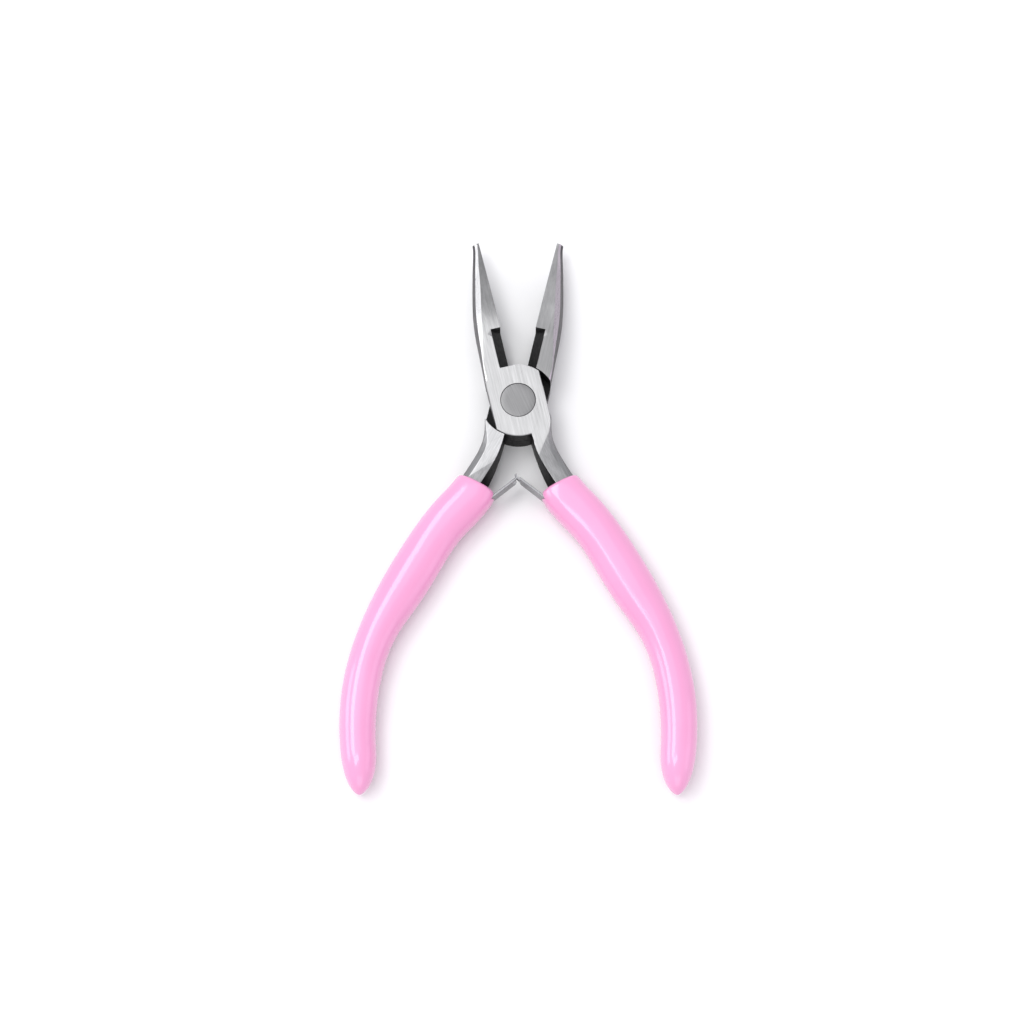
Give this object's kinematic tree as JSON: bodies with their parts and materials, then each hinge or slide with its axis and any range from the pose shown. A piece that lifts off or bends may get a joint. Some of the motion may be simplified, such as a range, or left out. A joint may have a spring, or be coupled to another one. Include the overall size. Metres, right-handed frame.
{
  "type": "long-nose jewellery pliers",
  "caption": "Mini long-nose pliers: tapered flat jaws with side cutters, riveted lap joint, double leaf return spring, bowed handles in glossy dipped grips.",
  "frame": {"origin": "on the pivot axis, at the flat back face of the joint, which the pliers lie on", "axes": "+Z along the pivot axis, out of the joint's front face; +Y along the jaws; -Y along the handles; +X to the right jaw"},
  "size_m": [0.0924, 0.1502, 0.01],
  "materials": {
    "forged_steel": "ground bright flats, black oxide in the recesses and on the inner sides",
    "rivet_steel": "ground flush, slightly darker than the halves",
    "spring_steel": "rolled spring strip",
    "grip_pvc": "glossy dipped soft PVC, candy pink"
  },
  "bodies": {
    "back_lever": {"back_half": "forged_steel", "pivot_rivet": "rivet_steel", "left_grip": "grip_pvc", "left_spring_rivet": "rivet_steel"},
    "front_lever": {"front_half": "forged_steel", "right_grip": "grip_pvc", "right_spring_rivet": "rivet_steel"},
    "left_leaf": {"left_spring_leaf": "spring_steel"},
    "right_leaf": {"right_spring_leaf": "spring_steel"}
  },
  "joints": [
    {"name": "jaw_pivot", "type": "hinge", "parent": "back_lever", "child": "front_lever", "pos_m": [0, 0, 0.005], "axis": [0, 0, -1], "range_deg": [-6, 26], "stiffness_Nm_per_rad": 1.5},
    {"name": "right_leaf_flex", "type": "hinge", "parent": "front_lever", "child": "right_leaf", "pos_m": [0.0085, -0.02718, 0.005], "axis": [0, 0, -1], "range_deg": [-6.6, 27.8], "deforming": ["right_spring_leaf"]},
    {"name": "left_leaf_flex", "type": "hinge", "parent": "back_lever", "child": "left_leaf", "pos_m": [-0.0085, -0.02718, 0.005], "axis": [0, 0, 1], "range_deg": [-6.6, 27.8], "deforming": ["left_spring_leaf"]}
  ],
  "couplings": [
    {"joint": "right_leaf_flex", "follows": "jaw_pivot", "ratio": 1.06},
    {"joint": "left_leaf_flex", "follows": "jaw_pivot", "ratio": 1.06}
  ]
}
